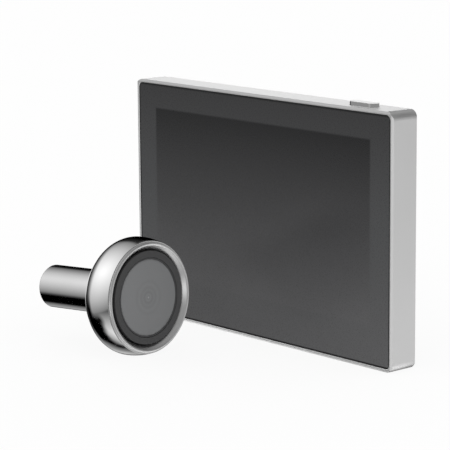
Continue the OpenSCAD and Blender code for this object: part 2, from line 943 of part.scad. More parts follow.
module door_pad() {
    color([0.12, 0.12, 0.12])
        difference() {
            plate(bracket_w - 2 * pad_inset, bracket_h - 2 * pad_inset, bulge_mid, bracket_r - pad_inset,
                bracket_back, pad_back);
            hole(0, bulge_mid, bolt_hole_r + pad_room, bracket_back, pad_back);
            for (x = screw_x)
                hole(x, bulge_mid, screw_hole_r + pad_room, bracket_back, pad_back);
        }
}

// Camera head

module polished_ring() {
    color("lightgray")
        at_head()
            rotate_extrude()
                difference() {
                    union() {
                        intersection() {
                            translate([core_r, widest_z])
                                circle(ring_round);
                            square([ring_r + over, widest_z]);
                        }
                        square([core_r, widest_z]);
                        intersection() {
                            translate([ring_r - crown_r, widest_z])
                                circle(crown_r);
                            translate([0, widest_z])
                                square([ring_r + over, crown_rise]);
                        }
                        translate([rim_mid, rim_low])
                            circle(rim_r);
                    }
                    polygon([[0, bore_top], [bore_r, bore_top], [slope_top, rim_low],
                        [slope_top, rim_z + over], [0, rim_z + over]]);
                    square([bore_r, rim_z]);
                    square([cave_r, shoulder_z]);
                    square([rear_r, chassis_back]);
                }
}

module mounting_disc() {
    color("lightgray")
        at_head()
            difference() {
                tube(disc_r, neck_r + screw_gap, 0, disc_t);
                tube(disc_r + over, disc_r - seal_groove, seal_ring_z - seal_groove / 2,
                    seal_ring_z + seal_groove / 2);
                at_thirds(chassis_screw_at)
                    disc(chassis_screw_r + screw_gap, chassis_screw_low, disc_t + over);
            }
}

module barrel() {
    color("lightgray")
        at_head()
            difference() {
                union() {
                    translate([0, 0, -barrel_l])
                        cylinder(r1 = barrel_r - barrel_cut, r2 = barrel_r, h = barrel_cut);
                    disc(barrel_r, barrel_cut - barrel_l, -neck_l);
                    disc(neck_r, -neck_l - over, disc_t);
                }
                disc(barrel_in, -barrel_l - over, thread_l - barrel_l);
                disc(wire_r, -barrel_l, disc_t + over);
            }
}

module ring_seal() {
    color([0.1, 0.1, 0.1])
        at_head()
            rotate_extrude()
                translate([disc_r - seal_groove / 2, seal_ring_z])
                    circle(seal_ring_r);
}

module door_gasket() {
    color([0.12, 0.12, 0.12])
        at_head()
            tube(gasket_r, barrel_r + slide_gap, -gasket_t, 0);
}

module cable_grommet() {
    color([0.1, 0.1, 0.1])
        at_head()
            difference() {
                disc(wire_r - screw_gap, -grommet_l, 0);
                translate([0, 0, -grommet_l / 2])
                    cube([cable_slot_w, cable_slot_t, grommet_l + over], center = true);
            }
}

module chassis() {
    color([0.08, 0.08, 0.09])
        at_head()
            difference() {
                union() {
                    disc(disc_r, disc_t, chassis_back);
                    disc(tube_r, disc_t, chassis_front);
                }
                disc(window_r + screw_gap, seat_z, chassis_front + over);
                disc(lamp_room_r, lamp_board_z, chassis_front);
                difference() {
                    disc(camera_room_r, chassis_back, chassis_front);
                    at_thirds(chassis_screw_at, sixth)
                        disc(camera_post_r, chassis_back - over, camera_board_z);
                }
                disc(cable_hole_r, 0, chassis_front);
                at_thirds(chassis_screw_at) {
                    disc(chassis_screw_r + screw_gap, 0, chassis_back + over);
                    disc(chassis_head_r + screw_gap, chassis_back - chassis_head_t, chassis_back + over);
                }
            }
}

module chassis_screws() {
    color("gray")
        at_head()
            at_thirds(chassis_screw_at) {
                disc(chassis_screw_r, chassis_screw_low + screw_gap, chassis_back);
                disc(chassis_head_r, chassis_back - chassis_head_t, chassis_back);
            }
}

module camera_board() {
    color("darkgreen")
        at_head()
            disc(camera_board_r, camera_board_z, sensor_z);
}

module image_sensor() {
    color([0.15, 0.2, 0.2])
        at_head()
            translate([0, 0, sensor_z + sensor_t / 2])
                cube([sensor_w, sensor_w, sensor_t], center = true);
}

module lens_holder() {
    room_w = sensor_w + 2 * skin_gap;
    room_t = sensor_t + skin_gap;
    color([0.1, 0.1, 0.1])
        at_head()
            difference() {
                disc(holder_r, sensor_z, holder_top);
                disc(lens_r + screw_gap, sensor_z + sensor_t, holder_top + over);
                translate([0, 0, sensor_z])
                    cube([room_w, room_w, 2 * room_t], center = true);
            }
}

module lens_barrel() {
    color([0.06, 0.06, 0.07])
        at_head()
            tube(lens_r, lens_r - lens_wall, lens_low, lens_top);
}

module lens_glass() {
    glass_r = lens_r - lens_wall - screw_gap;
    color([0.3, 0.35, 0.45])
        at_head() {
            intersection() {
                disc(glass_r, lens_top - lens_front_t, lens_top);
                translate([0, 0, lens_top - lens_curve_r])
                    sphere(lens_curve_r);
            }
            disc(glass_r, lens_low, lens_low + lens_back_t);
        }
}

module lamp_board() {
    color([0.08, 0.1, 0.09])
        at_head()
            tube(lamp_room_r - slide_gap, holder_r + drop_gap, lamp_board_z, lamp_board_z + lamp_board_t);
}

module infrared_lamps() {
    color([0.35, 0.3, 0.35])
        at_head()
            for (i = [0:lamp_count - 1])
                rotate(i * 360 / lamp_count)
                    translate([(lamp_room_r + holder_r) / 2, 0, lamp_board_z + lamp_board_t + lamp_t / 2])
                        cube([lamp_w, lamp_w, lamp_t], center = true);
}

module window() {
    color([0.42, 0.43, 0.45])
        at_head()
            disc(window_r, window_back, window_front);
}

module window_seal() {
    color([0.1, 0.1, 0.1])
        at_head()
            tube(window_r, lamp_room_r, seat_z, window_back);
}

module bell_board() {
    color("darkgreen")
        at_head()
            tube(bell_board_out, bell_board_in, chassis_back, bell_board_top);
}

module bell_switches() {
    color("gray")
        at_head()
            at_thirds(bell_switch_at)
                difference() {
                    disc(bell_switch_r, bell_board_top, bell_switch_top);
                    disc(bell_pin_r + screw_gap, bell_board_top + bell_pin_floor, bell_switch_top + over);
                }
}

module head_microphone() {
    color("gold")
        at_head()
            rotate(sixth)
                translate([bell_switch_at, 0, bell_board_top + mic_head_size[2] / 2])
                    cube(mic_head_size, center = true);
}

module bell_ring() {
    color([0.26, 0.26, 0.27])
        at_head() {
            tube(bell_r, bell_in, bell_back, face_z);
            tube(bell_flange_r, bell_in, bell_back, bell_back + bell_flange_t);
        }
}

module bell_pins() {
    color("white")
        at_head()
            at_thirds(bell_switch_at)
                disc(bell_pin_r, bell_pin_low, bell_back);
}

frame();
cover_glass();
glass_border();
display_panel();
display_ribbon();
display_connector();
back_plate();
plate_screws();
main_board();
board_spacers();
board_screws();
processor_shield();
wireless_module();
board_chips();
camera_socket();
charging_port();
power_switch();
microphone();
speaker();
speaker_seal();
battery_cell();
battery_pad();
battery_guard();
battery_lead();
battery_plug();
antenna_strip();
rear_cover();
cover_screws();
power_button();
switch_plunger();
door_bracket();
hanging_studs();
door_pad();
polished_ring();
mounting_disc();
barrel();
ring_seal();
door_gasket();
cable_grommet();
chassis();
chassis_screws();
camera_board();
image_sensor();
lens_holder();
lens_barrel();
lens_glass();
lamp_board();
infrared_lamps();
window();
window_seal();
bell_board();
bell_switches();
head_microphone();
bell_ring();
bell_pins();
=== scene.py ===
# %% [markdown]
# # A door viewer in two units
# The object is a flat screen unit that hangs inside a door, and a round camera head that goes outside.
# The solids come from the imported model, in metres. This lesson gives each of them its finish, and builds
# anew the few pieces whose polish or fine detail needs a mesh of its own.

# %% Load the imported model
import json
import math

import bmesh
import bpy
from mathutils import Matrix, Vector
from mathutils.geometry import tessellate_polygon


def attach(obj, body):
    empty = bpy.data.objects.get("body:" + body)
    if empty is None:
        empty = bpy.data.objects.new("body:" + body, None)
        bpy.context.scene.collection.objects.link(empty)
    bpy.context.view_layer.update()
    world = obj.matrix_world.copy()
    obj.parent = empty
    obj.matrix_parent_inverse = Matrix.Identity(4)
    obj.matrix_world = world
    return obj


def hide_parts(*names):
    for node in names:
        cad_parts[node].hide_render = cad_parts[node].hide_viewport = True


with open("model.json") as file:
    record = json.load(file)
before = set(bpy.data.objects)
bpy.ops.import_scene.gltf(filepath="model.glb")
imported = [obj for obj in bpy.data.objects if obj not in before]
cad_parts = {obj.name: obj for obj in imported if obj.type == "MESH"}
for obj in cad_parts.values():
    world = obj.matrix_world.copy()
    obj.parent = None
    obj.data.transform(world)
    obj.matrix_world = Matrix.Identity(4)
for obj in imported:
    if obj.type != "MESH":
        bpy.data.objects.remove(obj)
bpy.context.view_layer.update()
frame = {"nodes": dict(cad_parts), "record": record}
nodes = frame["nodes"]
record = frame["record"]
scene = bpy.context.scene
MM = 0.001

# %% [markdown]
# ## The camera
# The photograph was taken with a long lens from the front right, a little above the unit. A long lens far
# away keeps upright edges nearly parallel. The place, heading and tilt below were fitted to the corners of
# the frame and of the lit area, so every piece can be compared with the photograph where it stands.

# %% Camera
CAMERA_PLACE = (0.4881, -0.4452, 0.1591)
CAMERA_HEADING, CAMERA_TILT, CAMERA_ROLL = 48.79, -10.63, -0.46
LENS_MM, SENSOR_MM = 177.9, 36
NEAREST = 0.01

camera_data = bpy.data.cameras.new("long_lens")
camera_data.lens = LENS_MM
camera_data.sensor_width = SENSOR_MM
camera_data.clip_start = NEAREST
camera = bpy.data.objects.new("camera", camera_data)
scene.collection.objects.link(camera)
camera.matrix_world = (
    Matrix.Translation(CAMERA_PLACE)
    @ Matrix.Rotation(math.radians(CAMERA_HEADING), 4, "Z")
    @ Matrix.Rotation(math.radians(90 + CAMERA_TILT), 4, "X")
    @ Matrix.Rotation(math.radians(CAMERA_ROLL), 4, "Z")
)
scene.camera = camera
scene.view_settings.view_transform = "Standard"
print("camera at", [round(value, 3) for value in camera.location])

# %% [markdown]
# ## Helpers for materials
# Every finish below is a node tree with one Principled shader. Small functions keep that short: one turns
# a colour as it is written on a screen into the linear values that light adds up in, one adds a node, sets
# it up and links it, and one starts a material with its shader.

# %% Colour and node helpers
def linear(code):
    """An sRGB hex colour as linear red, green, blue and full alpha."""
    parts = [int(code[i:i + 2], 16) / 255 for i in (0, 2, 4)]
    return [p / 12.92 if p <= 0.04045 else ((p + 0.055) / 1.055) ** 2.4 for p in parts] + [1.0]


def add_node(tree, kind, inputs=None, stops=(), **settings):
    """Adds a node. An input that is a socket is linked, any other value is set, and stops fill a ramp."""
    node = tree.nodes.new(kind)
    for name, value in settings.items():
        setattr(node, name, value)
    for key, value in (inputs or {}).items():
        if isinstance(value, bpy.types.NodeSocket):
            tree.links.new(value, node.inputs[key])
        else:
            node.inputs[key].default_value = value
    elements = node.color_ramp.elements if stops else []
    while len(elements) < len(stops):
        elements.new(1.0)
    for element, (place, colour) in zip(elements, stops):
        element.position = place
        element.color = colour
    return node


def new_material(name, sockets):
    """A material with a fresh Principled shader; returns the material, its tree and the shader."""
    material = bpy.data.materials.new(name)
    material.use_nodes = True
    tree = material.node_tree
    tree.nodes.clear()
    shader = add_node(tree, "ShaderNodeBsdfPrincipled", sockets)
    add_node(tree, "ShaderNodeOutputMaterial", {"Surface": shader.outputs["BSDF"]})
    return material, tree, shader


def per_mm(size):
    """The texture scale, per metre, of a pattern whose repeat is this many millimetres."""
    return 1 / (size * MM)


print("white is", [round(value, 3) for value in linear("FFFFFF")])

# %% [markdown]
# ## Bead-blasted aluminium
# The frame is milled from aluminium, blasted with fine beads and anodised. Blasting leaves tiny dents
# that spread reflections into a soft sheen, so the eye sees a smooth silver with no mirror in it. One even
# roughness could give that sheen, but it looks like painted plastic up close, so noise varies the
# roughness and adds shallow dents. Real dents are about 0.05 mm across; here they are drawn at 0.25 mm,
# because finer ones wouldn't show.

# %% Aluminium
BLASTED = (0.40, 0.48)
DENT_MM, DENT_DEPTH_MM, DENT_STRENGTH = 0.25, 0.02, 0.05
CLOUD_MM = 30


def aluminium_finish(name, low, high):
    """Blasted aluminium whose tone drifts between two close greys."""
    material, tree, shader = new_material(name, {"Metallic": 1.0})
    place = add_node(tree, "ShaderNodeTexCoord").outputs["Object"]
    dents = add_node(tree, "ShaderNodeTexNoise",
                     {"Vector": place, "Scale": per_mm(DENT_MM), "Detail": 3.0}).outputs["Fac"]
    cloud = add_node(tree, "ShaderNodeTexNoise",
                     {"Vector": place, "Scale": per_mm(CLOUD_MM), "Detail": 2.0}).outputs["Fac"]
    tone = add_node(tree, "ShaderNodeValToRGB", {"Fac": cloud},
                    stops=[(0, linear(low)), (1, linear(high))])
    tree.links.new(tone.outputs["Color"], shader.inputs["Base Color"])
    rough = add_node(tree, "ShaderNodeMapRange",
                     {"Value": dents, "To Min": BLASTED[0], "To Max": BLASTED[1]})
    tree.links.new(rough.outputs["Result"], shader.inputs["Roughness"])
    bump = add_node(tree, "ShaderNodeBump",
                    {"Height": dents, "Strength": DENT_STRENGTH, "Distance": DENT_DEPTH_MM * MM})
    tree.links.new(bump.outputs["Normal"], shader.inputs["Normal"])
    return material


aluminium = aluminium_finish("bead_blasted_aluminium", "C2C2C2", "CACACA")
print("made", aluminium.name)

# %% [markdown]
# ## The power button
# The button is cut from the same aluminium. Its top is blasted, and its wall stays bright from the
# cutter, so the wall shows the room in sharper bands. Two materials could share its faces, but the solid
# would need its faces sorted. One material does both here: the direction of the surface chooses tone and
# roughness, smooth where it faces sideways and blasted on top. Its tones are painted light and shade: the
# wall is painted darker than the frame's aluminium, and the top is painted paler, as if lit from above.

# %% Button
BRIGHT_CUT = 0.14
# Painted light: the paler tone of the upward-facing top.
PAINTED_LIGHT_TOP = "D8D8D8"
TOP_STARTS, TOP_FULL = 0.6, 0.9

# The wall's greys are painted shade, darker than the frame's aluminium.
button_metal = aluminium_finish("bright_cut_aluminium", "ACACAC", "B4B4B4")
tree = button_metal.node_tree
shader = tree.nodes["Principled BSDF"]
blasted = shader.inputs["Roughness"].links[0].from_socket
painted_shade_wall = shader.inputs["Base Color"].links[0].from_socket
facing = add_node(tree, "ShaderNodeNewGeometry").outputs["Normal"]
upward = add_node(tree, "ShaderNodeSeparateXYZ", {"Vector": facing}).outputs["Z"]
on_top = add_node(tree, "ShaderNodeMapRange",
                  {"Value": upward, "From Min": TOP_STARTS, "From Max": TOP_FULL}).outputs["Result"]
rough = add_node(tree, "ShaderNodeMix", {"Factor": on_top, "A": BRIGHT_CUT, "B": blasted})
tree.links.new(rough.outputs["Result"], shader.inputs["Roughness"])
# Painted light on the top, painted shade on the wall.
tone = add_node(tree, "ShaderNodeMix", {"Factor": on_top, 6: painted_shade_wall, 7: linear(PAINTED_LIGHT_TOP)},
                data_type="RGBA")
tree.links.new(tone.outputs[2], shader.inputs["Base Color"])
print("made", button_metal.name)

# %% [markdown]
# ## Chrome in three grades
# The ring of the camera head is a zinc casting and its barrel a tube of brass, both polished and plated
# with chrome. Chrome is a nearly colourless mirror, so its whole look is what it reflects. The rim and the
# slope inside it are brushed to a satin first, which blurs the mirror into a soft grey. A perfect mirror
# could stand for the polished grades, but real chrome has a faint haze from wiping, drawn here as a small
# change in roughness over a few millimetres.

# %% Chrome
HAZE_MM = 6


def chrome_finish(name, low, high, least, most):
    """Chrome of two close tones, with the least and the most roughness of its haze."""
    material, tree, shader = new_material(name, {"Metallic": 1.0})
    place = add_node(tree, "ShaderNodeTexCoord").outputs["Object"]
    haze = add_node(tree, "ShaderNodeTexNoise",
                    {"Vector": place, "Scale": per_mm(HAZE_MM), "Detail": 4.0}).outputs["Fac"]
    rough = add_node(tree, "ShaderNodeMapRange", {"Value": haze, "To Min": least, "To Max": most})
    tree.links.new(rough.outputs["Result"], shader.inputs["Roughness"])
    tone = add_node(tree, "ShaderNodeValToRGB", {"Fac": haze},
                    stops=[(0, linear(low)), (1, linear(high))])
    tree.links.new(tone.outputs["Color"], shader.inputs["Base Color"])
    return material


chrome = chrome_finish("chromed_zinc", "E1E1E1", "E7E7E7", 0.05, 0.10)
tube_chrome = chrome_finish("chromed_brass_tube", "C8C8C8", "D0D0D0", 0.06, 0.12)
satin_chrome = chrome_finish("satin_chromed_zinc", "B4B4B4", "BCBCBC", 0.32, 0.40)
print("made", chrome.name, tube_chrome.name, satin_chrome.name)

# %% [markdown]
# ## The black glass
# The cover glass, the ink border printed on its back and the display are bonded into one black sheet. The
# eye sees the border a little lighter than the area that lights up, a nearly black line along the edge,
# and both parts rising in tone towards the bottom. The black line along the edge is painted shade, the
# shadow of the gap to the frame, and the rise in tone is painted light, where low light reaches into the
# layers. The layers could be rendered as clear sheets, but the bond leaves no gap to look into, so one
# solid sheet has each layer's tone drawn where that layer lies, by the real sizes in millimetres.

# %% Where the layers lie
UNIT_HEIGHT = 75.2
LIT_SIZE, LIT_MIDDLE = (95.0, 53.9), (0.0, 39.7)
GLASS_SIZE, GLASS_MIDDLE = (111.3, 73.1), (0.0, UNIT_HEIGHT / 2)


def outside(tree, x, z, middle, size):
    """How far in metres a place lies outside a rectangle; negative inside it."""
    sides = []
    for value, centre, length in zip((x, z), middle, size):
        off = add_node(tree, "ShaderNodeMath", {0: value, 1: centre * MM}, operation="SUBTRACT")
        span = add_node(tree, "ShaderNodeMath", {0: off.outputs[0]}, operation="ABSOLUTE")
        past = add_node(tree, "ShaderNodeMath", {0: span.outputs[0], 1: length / 2 * MM},
                        operation="SUBTRACT")
        sides.append(past.outputs[0])
    return add_node(tree, "ShaderNodeMath", {0: sides[0], 1: sides[1]}, operation="MAXIMUM").outputs[0]


print("border in mm:", [round((g - l) / 2, 2) for g, l in zip(GLASS_SIZE, LIT_SIZE)])

# %% [markdown]
# ## The face of the glass
# The face is etched against glare, which blurs reflections. The etched pits are far finer than a tenth of
# a millimetre; they are drawn at 0.3 mm, because finer ones wouldn't show. Each layer's tone is a ramp
# from the bottom of the unit to its top, painted light that makes it lighter low down.

# %% Glass
# Painted light: both ramps run lighter towards the bottom of the unit.
INK_TONES_AND_PAINTED_LIGHT = [(0, "5D5D5E"), (0.5, "494A4B"), (1, "2D2D2E")]
FILM_TONES_AND_PAINTED_LIGHT = [(0.15, "5B5B5C"), (0.52, "3E3E3F"), (0.9, "0E0E10")]
# Painted shade: the nearly black band just inside the glass's edge.
EDGE_PAINTED_SHADE = "0A0A0B"
LIT_FADE_MM = 0.4
EDGE_FROM_MM, EDGE_TO_MM = -0.65, -0.4
ETCH_MM, ETCHED = 0.3, (0.24, 0.32)

black_glass, tree, shader = new_material("etched_black_glass", {"IOR": 1.5, "Specular IOR Level": 0.4})
place = add_node(tree, "ShaderNodeTexCoord").outputs["Object"]
split = add_node(tree, "ShaderNodeSeparateXYZ", {"Vector": place}).outputs
height = add_node(tree, "ShaderNodeMapRange",
                  {"Value": split["Z"], "From Max": UNIT_HEIGHT * MM}).outputs["Result"]
# Both tones rise towards the bottom as painted light.
ink, film = [
    add_node(tree, "ShaderNodeValToRGB", {"Fac": height},
             stops=[(share, linear(code)) for share, code in tones]).outputs["Color"]
    for tones in (INK_TONES_AND_PAINTED_LIGHT, FILM_TONES_AND_PAINTED_LIGHT)
]
lit = add_node(tree, "ShaderNodeMapRange",
               {"Value": outside(tree, split["X"], split["Z"], LIT_MIDDLE, LIT_SIZE),
                "From Min": LIT_FADE_MM * MM, "From Max": -LIT_FADE_MM * MM},
               interpolation_type="SMOOTHSTEP")
edge = add_node(tree, "ShaderNodeMapRange",
                {"Value": outside(tree, split["X"], split["Z"], GLASS_MIDDLE, GLASS_SIZE),
                 "From Min": EDGE_FROM_MM * MM, "From Max": EDGE_TO_MM * MM},
                interpolation_type="SMOOTHSTEP")
sheet = add_node(tree, "ShaderNodeMix", {"Factor": lit.outputs["Result"], 6: ink, 7: film},
                 data_type="RGBA")
# Painted shade along the edge, over the painted light of the layers.
colour = add_node(tree, "ShaderNodeMix",
                  {"Factor": edge.outputs["Result"], 6: sheet.outputs[2], 7: linear(EDGE_PAINTED_SHADE)},
                  data_type="RGBA")
tree.links.new(colour.outputs[2], shader.inputs["Base Color"])
etch = add_node(tree, "ShaderNodeTexNoise", {"Vector": place, "Scale": per_mm(ETCH_MM), "Detail": 2.0})
rough = add_node(tree, "ShaderNodeMapRange",
                 {"Value": etch.outputs["Fac"], "To Min": ETCHED[0], "To Max": ETCHED[1]})
tree.links.new(rough.outputs["Result"], shader.inputs["Roughness"])
print("made", black_glass.name)

# %% [markdown]
# ## The other finishes
# Moulded plastics, rubber, foam, plated steel and circuit boards differ in colour, gloss and grain. Each
# could have a tree of its own, but they share one recipe: a colour that drifts a little between two tones,
# a roughness that drifts with it, and a fine bump. Each row gives the two colours, how metallic and rough
# the material is, its grain in millimetres and the depth of that grain. Grain finer than 0.35 mm is drawn
# at about that size, so that it shows.

# %% Table of finishes
FINISHES = {
    # Flat black with no shine
    "screen_printed_ink": ("262627", "2C2C2D", 0.0, 0.60, 0.5, 0.003),
    # Deep black with a soft gloss
    "polarising_film": ("161617", "1C1C1D", 0.0, 0.30, 2.0, 0.001),
    # Dark grey with an even, pebbled sheen
    "spark_textured_abs": ("2B2C2E", "333436", 0.0, 0.55, 0.35, 0.030),
    # Smooth dark grey with a broad, dull highlight
    "moulded_grey_polycarbonate": ("2C2C2D", "313132", 0.0, 0.45, 1.5, 0.002),
    # Black with a low gloss
    "black_polycarbonate": ("151516", "1C1C1D", 0.0, 0.40, 0.8, 0.004),
    # Bluish white metal, slightly cloudy
    "zinc_plated_steel": ("B9BCBF", "C9CBCE", 1.0, 0.30, 2.5, 0.004),
    # Dark metal with a muted shine
    "blackened_steel": ("3A3B3D", "4A4B4D", 1.0, 0.40, 0.6, 0.004),
    # Clean white metal, brighter than zinc
    "tinned_steel": ("C4C5C6", "D2D3D4", 1.0, 0.25, 1.5, 0.002),
    # Black that drinks the light
    "epdm_rubber": ("18181A", "222224", 0.0, 0.75, 0.4, 0.015),
    # Black with open, rough pores
    "closed_cell_foam": ("1B1B1C", "2C2C2D", 0.0, 0.90, 0.7, 0.080),
    # Chalky off-white
    "foam_tape": ("D8D8D6", "E4E4E2", 0.0, 0.85, 0.6, 0.030),
    # Warm cream with a waxy shine
    "natural_nylon": ("DAD5C6", "E6E1D3", 0.0, 0.45, 1.0, 0.004),
    # Cool white with a waxy shine
    "white_acetal": ("E3E3E0", "ECECEA", 0.0, 0.40, 1.0, 0.003),
    # Green lacquer that shows the copper's relief
    "green_solder_mask": ("14502C", "1C6338", 0.0, 0.35, 1.2, 0.010),
    # Black lacquer that shows the copper's relief
    "black_solder_mask": ("1A1B1B", "242525", 0.0, 0.40, 1.2, 0.010),
    # Dull charcoal with a fine grit
    "moulded_chip_resin": ("202123", "2A2B2D", 0.0, 0.60, 0.4, 0.008),
    # Yellow metal with fine turning marks
    "turned_brass": ("C9A24C", "D6B262", 1.0, 0.25, 0.5, 0.003),
    # Amber film with a soft gloss
    "polyimide_film": ("B5682A", "C47838", 0.0, 0.35, 2.0, 0.003),
    # Silver foil with shallow creases
    "pouch_foil": ("B4B8BF", "C3C7CD", 0.8, 0.35, 3.0, 0.020),
    # Red with a soft, rubbery gloss
    "pvc_insulation": ("8F1D18", "A4251F", 0.0, 0.45, 1.0, 0.003),
    # Black that still has a metal's edge shine
    "black_anodised_aluminium": ("2A2A2B", "353536", 0.7, 0.40, 0.4, 0.004),
    # Dark, clear-looking resin with a wet gloss
    "lamp_epoxy": ("5A4650", "6B5560", 0.0, 0.15, 1.0, 0.002),
    # Bluish black with a hard gloss
    "coated_lens_glass": ("1A1F26", "252B36", 0.0, 0.08, 2.5, 0.0005),
}
ROUGHNESS_DRIFT = 0.06
GRAIN_STRENGTH = 0.6


def grained(name, low, high, metallic, roughness, grain_mm, depth_mm):
    """One finish of the table."""
    material, tree, shader = new_material(name, {"Metallic": metallic})
    place = add_node(tree, "ShaderNodeTexCoord").outputs["Object"]
    grain = add_node(tree, "ShaderNodeTexNoise",
                     {"Vector": place, "Scale": per_mm(grain_mm), "Detail": 3.0}).outputs["Fac"]
    tone = add_node(tree, "ShaderNodeValToRGB", {"Fac": grain},
                    stops=[(0, linear(low)), (1, linear(high))])
    tree.links.new(tone.outputs["Color"], shader.inputs["Base Color"])
    rough = add_node(tree, "ShaderNodeMapRange", {
        "Value": grain, "To Min": roughness - ROUGHNESS_DRIFT, "To Max": roughness + ROUGHNESS_DRIFT})
    tree.links.new(rough.outputs["Result"], shader.inputs["Roughness"])
    bump = add_node(tree, "ShaderNodeBump",
                    {"Height": grain, "Strength": GRAIN_STRENGTH, "Distance": depth_mm * MM})
    tree.links.new(bump.outputs["Normal"], shader.inputs["Normal"])
    return material


finish = {name: grained(name, *values) for name, values in FINISHES.items()}
print("made", len(finish), "finishes")

# %% [markdown]
# ## The head's own axes
# The camera head lies at a slight tilt, so it is easiest to build along its own axis and then turn it into
# place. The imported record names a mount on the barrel, whose place and direction give that axis. Heights
# along it are measured from the back of the ring.

# %% Axes of the head
BARREL_MIDDLE = -15.35

barrel_mount = next(mount for mount in record["mounts"] if mount["name"] == "barrel")
HEAD_AXIS = -Vector(barrel_mount["axis"]).normalized()
HEAD_ORIGIN = Vector(barrel_mount["pos_m"]) - HEAD_AXIS * BARREL_MIDDLE * MM
head_side = Vector((0, 0, 1)).cross(HEAD_AXIS).normalized()
head_up = HEAD_AXIS.cross(head_side)
HEAD = Matrix.Translation(HEAD_ORIGIN) @ Matrix((head_side, head_up, HEAD_AXIS)).transposed().to_4x4()
print("head faces", [round(value, 3) for value in HEAD_AXIS])

# %% [markdown]
# ## The camera window
# The window is grey smoked acrylic, moulded with a fine matt skin. It could be clear over the modelled
# lens, but the smoke hides nearly everything: the eye sees an even grey with faint rings about its middle.
# So the acrylic is drawn nearly solid, with rings that fade outwards, placed by shares of its radius. The
# bright dot at the very middle is a painted highlight, the glint of the lens.

# %% Smoked acrylic
WINDOW_R = 11.25
# The first, brightest tone is a painted highlight: the glint of the lens behind the smoke.
LENS_RINGS_AND_PAINTED_GLINT = [(0.0, "A8A9AA"), (0.04, "7C7D7E"), (0.08, "848586"), (0.14, "7A7B7C"), (0.20, "818283"),
              (0.26, "7D7E7F"), (0.34, "838485"), (0.42, "7F8081"), (0.50, "828384"), (0.95, "818283"),
              (1.0, "747576")]

acrylic, tree, shader = new_material("smoked_acrylic", {
    "Roughness": 0.25, "IOR": 1.49, "Specular IOR Level": 0.25, "Alpha": 0.93})
place = add_node(tree, "ShaderNodeTexCoord").outputs["Object"]
away = add_node(tree, "ShaderNodeVectorMath", {0: place, 1: HEAD_ORIGIN}, operation="SUBTRACT")
along = add_node(tree, "ShaderNodeVectorMath", {0: away.outputs["Vector"], 1: HEAD_AXIS},
                 operation="DOT_PRODUCT")
axial = add_node(tree, "ShaderNodeVectorMath", {0: HEAD_AXIS, "Scale": along.outputs["Value"]},
                 operation="SCALE")
across = add_node(tree, "ShaderNodeVectorMath",
                  {0: away.outputs["Vector"], 1: axial.outputs["Vector"]}, operation="SUBTRACT")
radius = add_node(tree, "ShaderNodeVectorMath", {0: across.outputs["Vector"]}, operation="LENGTH")
share = add_node(tree, "ShaderNodeMath", {0: radius.outputs["Value"], 1: per_mm(WINDOW_R)},
                 operation="MULTIPLY")
tone = add_node(tree, "ShaderNodeValToRGB", {"Fac": share.outputs[0]},
                stops=[(place, linear(code)) for place, code in LENS_RINGS_AND_PAINTED_GLINT])
tree.links.new(tone.outputs["Color"], shader.inputs["Base Color"])
print("made", acrylic.name, "with", len(LENS_RINGS_AND_PAINTED_GLINT), "tones")

# %% [markdown]
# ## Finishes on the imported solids
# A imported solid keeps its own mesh; only its material changes. The table lists the solids by what they
# are made of, the parts in sight as well as those shut inside, so that an opened unit looks right too.

# %% Give every solid its finish
WEARS = {
    aluminium: ["frame"],
    button_metal: ["power_button"],
    black_glass: ["cover_glass"],
    finish["screen_printed_ink"]: ["glass_border"],
    finish["polarising_film"]: ["display_panel"],
    chrome: ["polished_ring", "mounting_disc", "barrel"],
    acrylic: ["window"],
    finish["moulded_grey_polycarbonate"]: ["bell_ring", "chassis"],
    finish["black_polycarbonate"]: ["speaker", "lens_holder"],
    finish["spark_textured_abs"]: ["rear_cover"],
    finish["zinc_plated_steel"]: ["door_bracket", "hanging_studs", "back_plate"],
    finish["tinned_steel"]: ["charging_port", "processor_shield", "wireless_module"],
    finish["blackened_steel"]: ["cover_screws", "plate_screws", "board_screws", "chassis_screws"],
    finish["epdm_rubber"]: ["door_gasket", "cable_grommet", "ring_seal", "window_seal"],
    finish["closed_cell_foam"]: ["door_pad", "speaker_seal"],
    finish["foam_tape"]: ["battery_pad"],
    finish["natural_nylon"]: ["camera_socket", "display_connector", "battery_plug"],
    finish["white_acetal"]: ["switch_plunger", "bell_pins"],
    finish["green_solder_mask"]: ["main_board", "battery_guard", "camera_board", "bell_board"],
    finish["black_solder_mask"]: ["lamp_board"],
    finish["moulded_chip_resin"]: ["board_chips", "image_sensor", "power_switch", "bell_switches"],
    finish["turned_brass"]: ["board_spacers", "microphone", "head_microphone"],
    finish["polyimide_film"]: ["display_ribbon", "antenna_strip"],
    finish["pouch_foil"]: ["battery_cell"],
    finish["pvc_insulation"]: ["battery_lead"],
    finish["black_anodised_aluminium"]: ["lens_barrel"],
    finish["lamp_epoxy"]: ["infrared_lamps"],
    finish["coated_lens_glass"]: ["lens_glass"],
}
for material, names in WEARS.items():
    for name in names:
        nodes[name].data.materials.clear()
        nodes[name].data.materials.append(material)
bare = set(nodes) - {name for names in WEARS.values() for name in names}
print("finished", len(nodes) - len(bare), "solids; without a finish:", sorted(bare))

# %% [markdown]
# ## Edge breaks
# Sharp machined edges never look sharp in life, because each has a tiny break that catches the light.
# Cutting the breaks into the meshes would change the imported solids. A weld that joins the solid's faces
# and a narrow bevel do it as modifiers instead, so the solid itself stays as it was packed. The widths are
# in millimetres.

# %% Break the sharp edges
EDGE_BREAKS = {"frame": 0.10, "power_button": 0.12, "rear_cover": 0.15, "door_bracket": 0.15,
               "hanging_studs": 0.15, "bell_ring": 0.12, "window": 0.12, "chassis": 0.06,
               "door_gasket": 0.15, "charging_port": 0.06, "camera_socket": 0.10}
WELD_MM = 0.002
BREAK_STEPS, BREAK_ANGLE = 3, 35

